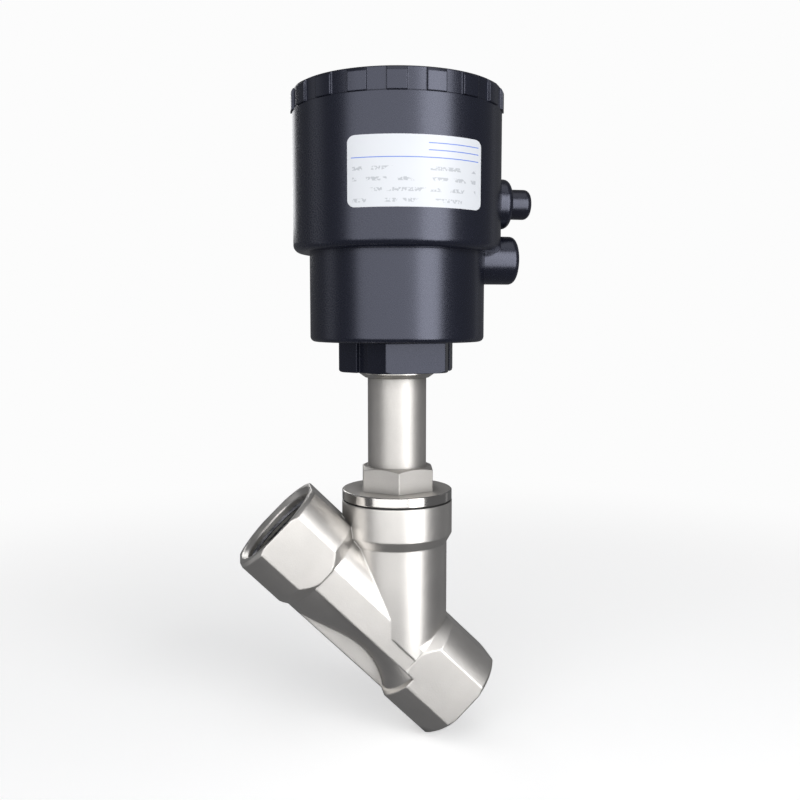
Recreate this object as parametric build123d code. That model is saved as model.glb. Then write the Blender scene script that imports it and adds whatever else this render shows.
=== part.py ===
from build123d import *
import math
import os

# Pneumatic angle seat valve, G1, normally closed. Millimetres, +Z up along the stem.
# The origin is where the stem axis crosses the flow axis. The front faces -Y.

os.makedirs("parts", exist_ok=True)

# ---------------------------------------------------------------- clearances
RUN_FIT = 0.05        # radial clearance of a running fit
FREE_GAP = 0.4        # radial clearance where nothing should touch
NEST_GAP = 0.05       # radial clearance between parts that sit in each other
AXIAL_GAP = 0.2       # axial play of the swivelling actuator

# ---------------------------------------------------------------- cast body
FLOW_SLOPE = 45.0     # flow axis against the stem
INLET_ARM = 68.0
OUTLET_ARM = 34.5
PORT_R = 21.8
PORT_FLATS = 39.0
PORT_RIM_R = 20.5
PORT_MOUTH_R = 18.4
PORT_WALL_R = 16.65
PORT_WALL_LENGTH = 15.0
INLET_COLLAR = 20.5
OUTLET_COLLAR = 24.7
COLLAR_SLOPE = 4.5
TUBE_R = 19.6
TUBE_BORE_R = 14.0
WAIST_R = 12.8
BAND_LOW = -5.8
BAND_HIGH = 4.8
BAND_NARROWING = 0.5
RIB_THICKNESS = 4.5
NECK_R = 19.8
NECK_TOP_R = 21.8
NECK_CONE_LOW = 39.2
NECK_CONE_HIGH = 42.8
NECK_TOP = 55.7
NECK_BORE_R = 16.5
SEAT_BORE_R = 14.6
SEAT_BORE_HIGH = 12.0
THREAD_BORE_R = 17.6
THREAD_BORE_LOW = 36.5
SEAT_LOW = -1.5
SEAT_HIGH = 3.0
SEAT_LIP = 1.0
ORIFICE_R = 11.0
LIFT = 10.0

# ---------------------------------------------------------------- bonnet
GASKET_THICKNESS = 0.5
GASKET_INNER_R = 18.0
GASKET_OUTER_R = 21.2
FLANGE_R = 21.7
FLANGE_THICKNESS = 3.9
BONNET_HEX = 27.0
BONNET_HEX_HEIGHT = 9.3
BONNET_HEX_TURN = -7.0
BONNET_TUBE_R = 11.5
BONNET_TUBE_LENGTH = 34.8
SPIGOT_R = 10.5
SPIGOT_ABOVE_FLOOR = 4.8
BONNET_BORE_R = 8.0
BONNET_BORE_LOW = 40.0

# ---------------------------------------------------------------- stem and packing
STEM_R = 5.0
STEM_ABOVE_SEAL = 4.5
STEM_NECK_R = 4.0
SHOULDER_ABOVE_FLOOR = 8.8
STEM_ABOVE_NUT = 2.5
GUIDE_BUSH_LENGTH = 8.0
PACKING_END_RING = 3.0
PACKING_RING_COUNT = 4
PACKING_RING_PITCH = 3.0
DISC_SPRING_COUNT = 4
DISC_SPRING_THICKNESS = 0.8
DISC_SPRING_CONE = 0.7
UPPER_BUSH_DROP = 6.2
UPPER_BUSH_LENGTH = 16.0
ROD_SEAL_LENGTH = 5.5
GLAND_DROP = 1.0

# ---------------------------------------------------------------- plug
DISC_SEAL_R = 13.0
DISC_SEAL_THICKNESS = 3.0
PLUG_R = 13.8
PLUG_PLATE = 5.0
PLUG_HUB_R = 8.0
PLUG_HEIGHT = 15.5
DISC_SCREW_R = 3.0
DISC_WASHER_R = 8.5
DISC_WASHER_THICKNESS = 1.5
DISC_PIN_R = 1.5
DISC_PIN_ABOVE_SEAL = 10.5

# ---------------------------------------------------------------- actuator support
WASHER_R = 14.8
WASHER_THICKNESS = 2.4
NUT_FLATS = 41.0
NUT_TRIM_R = 23.7
NUT_ABOVE_WASHER = 11.3
NUT_TURN = 10.0
NUT_SLOT_WIDTH = 5.5
NUT_SLOT_DEPTH = 1.8
RING_THICKNESS = 1.8
RING_OUTER_R = 12.7
RING_GROOVE_R = 9.3

# ---------------------------------------------------------------- cylinder housing
HOUSING_ABOVE_NUT = 0.3
HOUSING_FLOOR = 5.0
LOWER_LENGTH = 33.8
UPPER_LENGTH = 52.2
LOWER_R = 33.7
LOWER_WALL = 3.7
UPPER_R = 39.9
UPPER_WALL = 3.9
LEDGE_THICKNESS = 4.0
LOWER_ROUNDING = 2.0
STEP_ROUNDING = 3.0
SUPPLY_BOSS_R = 9.4
SUPPLY_BOSS_DROP = 2.2
SUPPLY_BOSS_OUT = 7.1
VENT_BOSS_R = 9.6
VENT_BOSS_RISE = 19.7
VENT_BOSS_OUT = 4.4
AIR_WALL_R = 4.3
AIR_BORE_WALL = 1.8
AIR_PASSAGE_R = 1.4
VENT_HEAD_R = 5.8
VENT_HEAD_LENGTH = 8.5
ORING_SECTION = 2.0

# ---------------------------------------------------------------- cap
CAP_HEIGHT = 8.0
CAP_PLATE = 4.0
CAP_INSET = 0.4
CAP_PAD_DEPTH = 1.0
CAP_PAD_COUNT = 18
CAP_PAD_ANGLE = 10.0
CAP_EDGE = 1.5
CAP_SKIRT_LENGTH = 11.0
CAP_SKIRT_WALL = 3.4
LENS_R = 7.5
LENS_FLANGE_R = 10.0
LENS_WALL = 1.2
LENS_HEIGHT = 6.8
LABEL_RISE = 13.2
LABEL_HEIGHT = 24.3
LABEL_FROM = -35.5
LABEL_TO = 38.0
LABEL_CORNER = 2.5
LABEL_THICKNESS = 0.2

# ---------------------------------------------------------------- piston and springs
PISTON_REST_GAP = 0.5
PISTON_THICKNESS = 9.0
SEAL_RISE = 3.0
SEAL_WIDTH = 3.0
GUIDE_RING_RISE = 6.8
GUIDE_RING_WIDTH = 2.0
RING_DEPTH = 2.4
CUP_CLEARANCE = 1.5
CUP_WALL = 3.0
CUP_RISE = 2.0
CUP_FLOOR = 4.0
HUB_R = 9.0
HUB_LENGTH = 16.0
PISTON_WASHER_THICKNESS = 1.5
PISTON_NUT_FLATS = 13.0
PISTON_NUT_THICKNESS = 6.0
INDICATOR_R = 4.5
INDICATOR_DROP = 5.2
OUTER_SPRING_CLEARANCE = 2.5
OUTER_WIRE_R = 2.0
OUTER_TURNS = 6
INNER_SPRING_R = 13.5
INNER_WIRE_R = 1.5
INNER_TURNS = 8

# ---------------------------------------------------------------- worked out
SLOPE = math.radians(FLOW_SLOPE)
FLOW = Plane(
    origin=(0, 0, 0),
    x_dir=(math.cos(SLOPE), 0, math.sin(SLOPE)),
    z_dir=(math.sin(SLOPE), 0, -math.cos(SLOPE)),
)
INLET_COLLAR_END = -INLET_ARM + INLET_COLLAR
OUTLET_COLLAR_END = OUTLET_ARM - OUTLET_COLLAR
HALF_FLATS = PORT_FLATS / 2
FAR = 200.0
GASKET_TOP = NECK_TOP + GASKET_THICKNESS
FLANGE_TOP = GASKET_TOP + FLANGE_THICKNESS
BONNET_HEX_TOP = FLANGE_TOP + BONNET_HEX_HEIGHT
BONNET_TUBE_TOP = BONNET_HEX_TOP + BONNET_TUBE_LENGTH
WASHER_TOP = BONNET_TUBE_TOP + WASHER_THICKNESS
NUT_TOP = WASHER_TOP + NUT_ABOVE_WASHER
HOUSING_LOW = NUT_TOP + HOUSING_ABOVE_NUT
FLOOR_TOP = HOUSING_LOW + HOUSING_FLOOR
HOUSING_STEP = HOUSING_LOW + LOWER_LENGTH
HOUSING_TOP = HOUSING_STEP + UPPER_LENGTH
LOWER_BORE_R = LOWER_R - LOWER_WALL
UPPER_BORE_R = UPPER_R - UPPER_WALL
SUPPLY_BOSS_HEIGHT = HOUSING_STEP - SUPPLY_BOSS_DROP
SUPPLY_BOSS_REACH = UPPER_R + SUPPLY_BOSS_OUT
VENT_BOSS_HEIGHT = HOUSING_STEP + VENT_BOSS_RISE
VENT_BOSS_REACH = UPPER_R + VENT_BOSS_OUT
VENT_HEAD_REACH = VENT_BOSS_REACH + VENT_HEAD_LENGTH
AIR_BORE_END = UPPER_BORE_R + AIR_BORE_WALL
SPIGOT_TOP = FLOOR_TOP + SPIGOT_ABOVE_FLOOR
GLAND_TOP = SPIGOT_TOP - GLAND_DROP
UPPER_BUSH_LOW = BONNET_TUBE_TOP - UPPER_BUSH_DROP
UPPER_BUSH_HIGH = UPPER_BUSH_LOW + UPPER_BUSH_LENGTH
ROD_SEAL_HIGH = UPPER_BUSH_HIGH + ROD_SEAL_LENGTH
RING_LOW = FLOOR_TOP + AXIAL_GAP
RING_HIGH = RING_LOW + RING_THICKNESS
SEAT_FACE = SEAT_HIGH + SEAT_LIP
SEAL_TOP = SEAT_FACE + DISC_SEAL_THICKNESS
DISC_WASHER_LOW = SEAT_FACE - DISC_WASHER_THICKNESS
STEM_LOW = SEAL_TOP + STEM_ABOVE_SEAL
PLUG_TOP = SEAL_TOP + PLUG_HEIGHT
DISC_PIN_HEIGHT = SEAL_TOP + DISC_PIN_ABOVE_SEAL
PACKING_LOW = BONNET_BORE_LOW + GUIDE_BUSH_LENGTH
PACKING_V_LOW = PACKING_LOW + PACKING_END_RING
PACKING_V_HIGH = PACKING_V_LOW + PACKING_RING_COUNT * PACKING_RING_PITCH
PACKING_HIGH = PACKING_V_HIGH + PACKING_END_RING
DISC_SPRING_PITCH = DISC_SPRING_THICKNESS + DISC_SPRING_CONE
SPACER_LOW = PACKING_HIGH + DISC_SPRING_COUNT * DISC_SPRING_PITCH
PACKING_INNER_R = STEM_R + RUN_FIT
PACKING_OUTER_R = BONNET_BORE_R - NEST_GAP
CAP_R = UPPER_R - CAP_INSET
CAP_PAD_R = CAP_R + CAP_PAD_DEPTH
CAP_TOP = HOUSING_TOP + CAP_HEIGHT
CAP_UNDER = CAP_TOP - CAP_PLATE
CAP_SKIRT_LOW = HOUSING_TOP - CAP_SKIRT_LENGTH
LENS_TOP = CAP_TOP + LENS_HEIGHT
LABEL_LOW = HOUSING_STEP + LABEL_RISE
LABEL_HIGH = LABEL_LOW + LABEL_HEIGHT
STEM_SHOULDER = FLOOR_TOP + SHOULDER_ABOVE_FLOOR
PISTON_LEDGE = HOUSING_STEP + LEDGE_THICKNESS
PISTON_LOW = PISTON_LEDGE + PISTON_REST_GAP
PISTON_HIGH = PISTON_LOW + PISTON_THICKNESS
SEAL_HEIGHT = PISTON_LOW + SEAL_RISE
GUIDE_RING_HEIGHT = PISTON_LOW + GUIDE_RING_RISE
CUP_R = LOWER_BORE_R - CUP_CLEARANCE
CUP_LOW = STEM_SHOULDER + CUP_RISE
CUP_FLOOR_TOP = CUP_LOW + CUP_FLOOR
HUB_TOP = STEM_SHOULDER + HUB_LENGTH
OUTER_SPRING_R = CUP_R - CUP_WALL - OUTER_WIRE_R - OUTER_SPRING_CLEARANCE
PISTON_R = UPPER_BORE_R - FREE_GAP
PISTON_WASHER_TOP = HUB_TOP + PISTON_WASHER_THICKNESS
PISTON_NUT_TOP = PISTON_WASHER_TOP + PISTON_NUT_THICKNESS
STEM_TOP = PISTON_NUT_TOP + STEM_ABOVE_NUT
INDICATOR_TOP = CAP_TOP - INDICATOR_DROP


# ---------------------------------------------------------------- helpers
def rod(radius, low, high):
    base = (Align.CENTER, Align.CENTER, Align.MIN)
    return Pos(0, 0, low) * Cylinder(radius, high - low, align=base)


def ring(outer, inner, low, high):
    return rod(outer, low, high) - rod(inner, low - 1, high + 1)


def lathe(points):
    outline = Polyline(*[(r, 0, z) for r, z in points], close=True)
    return revolve(make_face(outline), Axis.Z, 360)


def block(x_low, x_high, y_low, y_high, z_low, z_high):
    corner = (Align.MIN, Align.MIN, Align.MIN)
    size = (x_high - x_low, y_high - y_low, z_high - z_low)
    return Pos(x_low, y_low, z_low) * Box(*size, align=corner)


def hexagon(flats, low, high, turn):
    # one face looks to azimuth `turn`, measured from the front towards +X
    outline = RegularPolygon(flats / 2, 6, major_radius=False, rotation=turn - 60)
    return Pos(0, 0, low) * extrude(outline, high - low)


def along_x(radius, x_low, x_high, height):
    return Pos(x_low, 0, height) * Rot(0, 90, 0) * rod(radius, 0, x_high - x_low)


def place(angle, thing):
    return Rot(0, 0, angle) * thing


def round_edge(thing, radius, height, size):
    edges = [
        e
        for e in thing.edges().filter_by(GeomType.CIRCLE)
        if abs(e.radius - radius) < 0.01 and abs(e.arc_center.Z - height) < 0.01
    ]
    return fillet(edges, size)


def coil(mean_r, wire_r, turns, low, high):
    # a six sided wire keeps the coil light
    path = Helix(pitch=(high - low) / turns, height=high - low, radius=mean_r)
    path = Pos(0, 0, low) * path
    start = Plane(origin=path @ 0, z_dir=path % 0)
    wire = start * RegularPolygon(wire_r, 6)
    return sweep(wire, path=path, is_frenet=True)


def save(name, thing):
    export_step(thing, f"parts/{name}.step")


# ---------------------------------------------------------------- cast body
def port_collar(end, shoulder, tip):
    # `end` is the open face, `shoulder` the tube side, `tip` where its slope meets the tube
    way = 1 if end > shoulder else -1
    rim = end - way * (PORT_R - PORT_RIM_R)
    outline = [
        (0, end),
        (PORT_RIM_R, end),
        (PORT_R, rim),
        (PORT_R, shoulder),
        (TUBE_R, tip),
        (0, tip),
    ]
    low = min(end, tip)
    high = max(end, tip)
    flats = block(-HALF_FLATS, HALF_FLATS, -HALF_FLATS, HALF_FLATS, low - 1, high + 1)
    return lathe(outline) & flats


def waisted_tube():
    start = INLET_COLLAR_END
    end = OUTLET_COLLAR_END
    span = end - start
    drop = TUBE_R - WAIST_R
    curve = Spline(
        (TUBE_R, 0, start + 0.07 * span),
        (TUBE_R - 0.52 * drop, 0, start + 0.40 * span),
        (WAIST_R, 0, start + 0.69 * span),
        (TUBE_R - 0.47 * drop, 0, start + 0.94 * span),
        (TUBE_R, 0, start + 1.02 * span),
    )
    rest = Polyline(
        (TUBE_R, 0, start + 1.02 * span),
        (0, 0, start + 1.02 * span),
        (0, 0, start),
        (TUBE_R, 0, start),
        (TUBE_R, 0, start + 0.07 * span),
    )
    return revolve(make_face(Wire([*curve.edges(), *rest.edges()])), Axis.Z, 360)


def side_band():
    start = INLET_COLLAR_END
    end = OUTLET_COLLAR_END
    wide = HALF_FLATS
    slim = HALF_FLATS - BAND_NARROWING
    outline = Polyline(
        (start - 1, wide),
        (start, wide),
        (start + COLLAR_SLOPE, slim),
        (end - COLLAR_SLOPE, slim),
        (end, wide),
        (end + 1, wide),
        (end + 1, -wide),
        (end, -wide),
        (end - COLLAR_SLOPE, -slim),
        (start + COLLAR_SLOPE, -slim),
        (start, -wide),
        (start - 1, -wide),
        close=True,
    )
    plane = Plane(origin=(BAND_LOW, 0, 0), x_dir=(0, 0, 1), z_dir=(1, 0, 0))
    band = extrude(plane * make_face(outline), BAND_HIGH - BAND_LOW)
    return band & rod(PORT_R, start - 1, end + 1)


def body_outside():
    start = INLET_COLLAR_END
    end = OUTLET_COLLAR_END
    upper = rod(TUBE_R, start, end) & block(0, FAR, -FAR, FAR, -FAR, FAR)
    lower = waisted_tube() & block(-FAR, 0, -FAR, FAR, -FAR, FAR)
    rib = block(-HALF_FLATS, -WAIST_R + 0.6, -RIB_THICKNESS / 2, RIB_THICKNESS / 2, start, end)
    slim = HALF_FLATS - BAND_NARROWING
    tube = (upper + lower) & block(-FAR, FAR, -slim, slim, -FAR, FAR)
    tube += side_band()
    tube += rib
    tube += port_collar(-INLET_ARM, start, start + COLLAR_SLOPE)
    outlet = port_collar(OUTLET_ARM, end, end - COLLAR_SLOPE)
    tube += outlet - block(-FAR, BAND_LOW, -FAR, FAR, -FAR, end)
    neck = lathe(
        [
            (0, -NECK_R),
            (NECK_R, -NECK_R),
            (NECK_R, NECK_CONE_LOW),
            (NECK_TOP_R, NECK_CONE_HIGH),
            (NECK_TOP_R, NECK_TOP),
            (0, NECK_TOP),
        ]
    )
    neck = neck & (FLOW * block(0, FAR, -FAR, FAR, -FAR, FAR))
    return FLOW * tube + neck


def port_cut(end):
    way = 1 if end > 0 else -1
    inner = end - way * PORT_WALL_LENGTH
    mouth = end - way * (PORT_MOUTH_R - PORT_WALL_R)
    relief = inner - way * (PORT_WALL_R - TUBE_BORE_R)
    outline = [
        (0, end + way),
        (PORT_MOUTH_R, end + way),
        (PORT_MOUTH_R, end),
        (PORT_WALL_R, mouth),
        (PORT_WALL_R, inner),
        (TUBE_BORE_R, relief),
        (0, relief),
    ]
    return FLOW * lathe(outline)


def passage(points, low, high):
    # the upper half is a plain bore, the lower half follows the waist
    below = block(-FAR, 0, -FAR, FAR, -FAR, FAR)
    above = block(0, FAR, -FAR, FAR, -FAR, FAR)
    return FLOW * ((lathe(points) & below) + (rod(TUBE_BORE_R, low, high) & above))


def inlet_passage():
    start = PORT_WALL_LENGTH + 1 - INLET_ARM
    floor_r = WAIST_R - 2.4
    points = [
        (0, start),
        (TUBE_BORE_R, start),
        (TUBE_BORE_R, -36),
        (TUBE_BORE_R - 0.6, -24),
        (floor_r, -12),
        (floor_r, -8),
        (0, -8),
    ]
    return passage(points, start, 0)


def outlet_passage():
    end = OUTLET_ARM - PORT_WALL_LENGTH - 1
    points = [
        (0, -8),
        (WAIST_R - 3.2, -8),
        (WAIST_R - 2.6, -2),
        (WAIST_R - 1.6, 3),
        (TUBE_BORE_R - 0.8, 8),
        (TUBE_BORE_R, 11),
        (TUBE_BORE_R, end),
        (0, end),
    ]
    return passage(points, 0, end)


def body_casting():
    body = body_outside()
    body -= port_cut(-INLET_ARM)
    body -= port_cut(OUTLET_ARM)
    above_seat = block(-FAR, FAR, -FAR, FAR, SEAT_HIGH, FAR)
    below_seat = block(-FAR, FAR, -FAR, FAR, -FAR, SEAT_LOW)
    body -= inlet_passage() & above_seat
    body -= outlet_passage() & below_seat
    body -= lathe(
        [
            (0, SEAT_HIGH),
            (SEAT_BORE_R, SEAT_HIGH),
            (SEAT_BORE_R, SEAT_BORE_HIGH),
            (NECK_BORE_R, SEAT_BORE_HIGH + 2),
            (NECK_BORE_R, NECK_TOP),
            (0, NECK_TOP),
        ]
    )
    body -= rod(THREAD_BORE_R, THREAD_BORE_LOW, NECK_TOP + 1)
    body += ring(ORIFICE_R + 1.6, ORIFICE_R, SEAT_HIGH - 0.5, SEAT_FACE)
    body -= rod(ORIFICE_R, SEAT_LOW - 1, SEAT_FACE + 1)
    return body


# ---------------------------------------------------------------- bonnet
def bonnet():
    plug_r = THREAD_BORE_R - NEST_GAP
    edge = 0.3
    core = lathe(
        [
            (0, THREAD_BORE_LOW + 0.5),
            (plug_r - 1, THREAD_BORE_LOW + 0.5),
            (plug_r, THREAD_BORE_LOW + 1.5),
            (plug_r, GASKET_TOP),
            (FLANGE_R - edge, GASKET_TOP),
            (FLANGE_R, GASKET_TOP + edge),
            (FLANGE_R, FLANGE_TOP - edge),
            (FLANGE_R - edge, FLANGE_TOP),
            (BONNET_TUBE_R, FLANGE_TOP),
            (BONNET_TUBE_R, BONNET_TUBE_TOP),
            (SPIGOT_R, BONNET_TUBE_TOP),
            (SPIGOT_R, SPIGOT_TOP - 1),
            (SPIGOT_R - 1, SPIGOT_TOP),
            (0, SPIGOT_TOP),
        ]
    )
    corner_r = BONNET_HEX / 2 / math.cos(math.pi / 6)
    crown = lathe(
        [
            (0, FLANGE_TOP),
            (corner_r + 1, FLANGE_TOP),
            (corner_r + 1, BONNET_HEX_TOP - 1.6),
            (BONNET_HEX / 2 - 0.4, BONNET_HEX_TOP),
            (0, BONNET_HEX_TOP),
        ]
    )
    hexed = hexagon(BONNET_HEX, FLANGE_TOP - 0.5, BONNET_HEX_TOP, BONNET_HEX_TURN + 30)
    body = core + (hexed & crown)
    body -= rod(BONNET_BORE_R, BONNET_BORE_LOW, SPIGOT_TOP + 1)
    body -= rod(STEM_R + FREE_GAP, THREAD_BORE_LOW, BONNET_BORE_LOW + 1)
    body -= ring(SPIGOT_R + 2, RING_GROOVE_R, RING_LOW - 0.1, RING_HIGH + 0.1)
    return body


def bonnet_gasket():
    return ring(GASKET_OUTER_R, GASKET_INNER_R, NECK_TOP, GASKET_TOP)


def packing_ring(low):
    rise = PACKING_RING_PITCH - 1.2
    mid = (PACKING_INNER_R + PACKING_OUTER_R) / 2
    return lathe(
        [
            (PACKING_INNER_R, low),
            (mid, low + rise),
            (PACKING_OUTER_R, low),
            (PACKING_OUTER_R, low + PACKING_RING_PITCH),
            (mid, low + PACKING_RING_PITCH + rise),
            (PACKING_INNER_R, low + PACKING_RING_PITCH),
        ]
    )


def packing_end_ring(low, high, peak_low, peak_high):
    # the faces towards the V rings follow their shape
    rise = PACKING_RING_PITCH - 1.2
    mid = (PACKING_INNER_R + PACKING_OUTER_R) / 2
    return lathe(
        [
            (PACKING_INNER_R, low),
            (mid, low + peak_low * rise),
            (PACKING_OUTER_R, low),
            (PACKING_OUTER_R, high),
            (mid, high + peak_high * rise),
            (PACKING_INNER_R, high),
        ]
    )


def disc_spring(index):
    low = PACKING_HIGH + index * DISC_SPRING_PITCH
    cone = DISC_SPRING_CONE
    thick = DISC_SPRING_THICKNESS
    inner = STEM_R + FREE_GAP
    outer = PACKING_OUTER_R
    inner_low = low + cone if index % 2 == 0 else low
    outer_low = low if index % 2 == 0 else low + cone
    return lathe(
        [
            (inner, inner_low),
            (outer, outer_low),
            (outer, outer_low + thick),
            (inner, inner_low + thick),
        ]
    )


def gland_screw():
    body = ring(PACKING_OUTER_R, STEM_R + FREE_GAP, ROD_SEAL_HIGH, GLAND_TOP)
    slot = block(-BONNET_BORE_R, BONNET_BORE_R, -1, 1, GLAND_TOP - 1.6, GLAND_TOP + 1)
    return body - slot


# ---------------------------------------------------------------- actuator support
def support_washer():
    return lathe(
        [
            (SPIGOT_R + NEST_GAP, BONNET_TUBE_TOP),
            (BONNET_TUBE_R + 1, BONNET_TUBE_TOP),
            (WASHER_R, WASHER_TOP - 0.8),
            (WASHER_R, WASHER_TOP),
            (SPIGOT_R + NEST_GAP, WASHER_TOP),
        ]
    )


def actuator_nut():
    nut = hexagon(NUT_FLATS, WASHER_TOP, NUT_TOP, NUT_TURN)
    trim = lathe(
        [
            (0, WASHER_TOP),
            (NUT_TRIM_R - 1.2, WASHER_TOP),
            (NUT_TRIM_R, WASHER_TOP + 0.8),
            (NUT_TRIM_R, NUT_TOP),
            (0, NUT_TOP),
        ]
    )
    nut = nut & trim
    nut -= rod(SPIGOT_R + NEST_GAP, WASHER_TOP - 1, NUT_TOP + 1)
    half = NUT_SLOT_WIDTH / 2
    face = NUT_FLATS / 2
    slot = block(-half, half, -face - 2, -face + NUT_SLOT_DEPTH, WASHER_TOP - 1, NUT_TOP + 1)
    for index in range(3):
        nut -= place(NUT_TURN + 60 + 120 * index, slot)
    return nut


def retaining_ring():
    body = ring(RING_OUTER_R, RING_GROOVE_R + NEST_GAP, RING_LOW, RING_HIGH)
    return body - block(-3, 3, 0, FAR, RING_LOW - 1, RING_HIGH + 1)


# ---------------------------------------------------------------- actuator
def cylinder_housing():
    shell = lathe(
        [
            (0, HOUSING_LOW),
            (LOWER_R, HOUSING_LOW),
            (LOWER_R, HOUSING_STEP),
            (UPPER_R, HOUSING_STEP),
            (UPPER_R, HOUSING_TOP),
            (0, HOUSING_TOP),
        ]
    )
    shell = round_edge(shell, LOWER_R, HOUSING_LOW, LOWER_ROUNDING)
    step_rounding = min(STEP_ROUNDING, 0.6 * (UPPER_R - LOWER_R))
    shell = round_edge(shell, UPPER_R, HOUSING_STEP, step_rounding)
    supply = along_x(SUPPLY_BOSS_R, 10, SUPPLY_BOSS_REACH, SUPPLY_BOSS_HEIGHT)
    supply = fillet(supply.edges().filter_by(GeomType.CIRCLE).sort_by(Axis.X)[-1], 2.4)
    vent = along_x(VENT_BOSS_R, 10, VENT_BOSS_REACH, VENT_BOSS_HEIGHT)
    vent = fillet(vent.edges().filter_by(GeomType.CIRCLE).sort_by(Axis.X)[-1], 2.6)
    shell += supply
    shell += vent
    shell -= rod(LOWER_BORE_R, FLOOR_TOP, PISTON_LEDGE + 1)
    shell -= rod(UPPER_BORE_R, PISTON_LEDGE, HOUSING_TOP + 1)
    shell -= rod(SPIGOT_R + RUN_FIT, HOUSING_LOW - 1, FLOOR_TOP + 1)
    groove_low = (HOUSING_LOW + FLOOR_TOP - ORING_SECTION) / 2
    groove_r = SPIGOT_R + ORING_SECTION
    shell -= rod(groove_r, groove_low, groove_low + ORING_SECTION)
    shell -= along_x(AIR_WALL_R, AIR_BORE_END, SUPPLY_BOSS_REACH + 1, SUPPLY_BOSS_HEIGHT)
    shell -= along_x(AIR_WALL_R, AIR_BORE_END, VENT_BOSS_REACH + 1, VENT_BOSS_HEIGHT)
    shell -= along_x(AIR_PASSAGE_R, LOWER_BORE_R - 3, AIR_BORE_END + 1, SUPPLY_BOSS_HEIGHT)
    shell -= along_x(AIR_PASSAGE_R, UPPER_BORE_R - 3, AIR_BORE_END + 1, VENT_BOSS_HEIGHT)
    return shell


def swivel_oring():
    low = (HOUSING_LOW + FLOOR_TOP - ORING_SECTION) / 2
    outer = SPIGOT_R + ORING_SECTION - NEST_GAP
    high = low + ORING_SECTION - NEST_GAP
    return ring(outer, SPIGOT_R + RUN_FIT, low + NEST_GAP, high)


def cap_groove_low():
    return (CAP_SKIRT_LOW + HOUSING_TOP - ORING_SECTION) / 2


def top_cap():
    skirt_r = UPPER_BORE_R - NEST_GAP
    hollow_r = skirt_r - CAP_SKIRT_WALL
    cap = rod(CAP_R, HOUSING_TOP, CAP_TOP)
    pad_half = CAP_PAD_R * math.tan(math.radians(CAP_PAD_ANGLE / 2))
    pad = block(-pad_half, pad_half, -CAP_PAD_R - 1, -CAP_R + 2, HOUSING_TOP, CAP_TOP)
    step = 360 / CAP_PAD_COUNT
    for index in range(CAP_PAD_COUNT):
        cap += place(step * (index + 0.5), pad)
    cap = cap & lathe(
        [
            (0, HOUSING_TOP),
            (CAP_PAD_R, HOUSING_TOP),
            (CAP_PAD_R, CAP_TOP - CAP_EDGE),
            (CAP_PAD_R - 0.35 * CAP_EDGE, CAP_TOP - 0.35 * CAP_EDGE),
            (CAP_PAD_R - CAP_EDGE, CAP_TOP),
            (0, CAP_TOP),
        ]
    )
    cap += rod(skirt_r, CAP_SKIRT_LOW, HOUSING_TOP + 1)
    cap -= rod(hollow_r, CAP_SKIRT_LOW - 1, CAP_UNDER)
    low = cap_groove_low()
    cap -= ring(skirt_r + 2, skirt_r - ORING_SECTION, low, low + ORING_SECTION)
    cap -= rod(LENS_R + NEST_GAP, CAP_UNDER - 1, CAP_TOP + 1)
    return cap


def cap_oring():
    low = cap_groove_low()
    inner = UPPER_BORE_R - ORING_SECTION
    return ring(UPPER_BORE_R - NEST_GAP, inner, low + NEST_GAP, low + ORING_SECTION - NEST_GAP)


def indicator_lens():
    low = CAP_UNDER - 1.5
    body = rod(LENS_FLANGE_R, low, CAP_UNDER)
    body += rod(LENS_R, CAP_UNDER - 0.5, LENS_TOP)
    body = round_edge(body, LENS_R, LENS_TOP, 3.0)
    body -= rod(LENS_R - LENS_WALL, low - 1, LENS_TOP - LENS_WALL)
    return body


def name_label():
    left = UPPER_R * math.sin(math.radians(LABEL_FROM))
    right = UPPER_R * math.sin(math.radians(LABEL_TO))
    outline = RectangleRounded(right - left, LABEL_HIGH - LABEL_LOW, LABEL_CORNER)
    middle = ((left + right) / 2, 0, (LABEL_LOW + LABEL_HIGH) / 2)
    plane = Plane(origin=middle, x_dir=(1, 0, 0), z_dir=(0, -1, 0))
    patch = extrude(plane * outline, FAR)
    return ring(UPPER_R + LABEL_THICKNESS, UPPER_R, LABEL_LOW - 1, LABEL_HIGH + 1) & patch


def vent_plug():
    head = along_x(VENT_HEAD_R, VENT_BOSS_REACH, VENT_HEAD_REACH, VENT_BOSS_HEIGHT)
    head = fillet(head.edges().filter_by(GeomType.CIRCLE).sort_by(Axis.X)[-1], 2.4)
    shank = along_x(AIR_WALL_R - NEST_GAP, AIR_BORE_END + 0.6, VENT_BOSS_REACH + 1, VENT_BOSS_HEIGHT)
    return head + shank


# ---------------------------------------------------------------- moving stem
def pin_hole(extra):
    half = PLUG_HUB_R - 0.2
    return along_x(DISC_PIN_R + extra, -half, half, DISC_PIN_HEIGHT)


def stem():
    body = lathe(
        [
            (0, STEM_LOW),
            (STEM_R - 0.6, STEM_LOW),
            (STEM_R, STEM_LOW + 0.6),
            (STEM_R, STEM_SHOULDER),
            (STEM_NECK_R, STEM_SHOULDER),
            (STEM_NECK_R, STEM_TOP - 0.6),
            (STEM_NECK_R - 0.6, STEM_TOP),
            (0, STEM_TOP),
        ]
    )
    return body - pin_hole(NEST_GAP)


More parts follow.
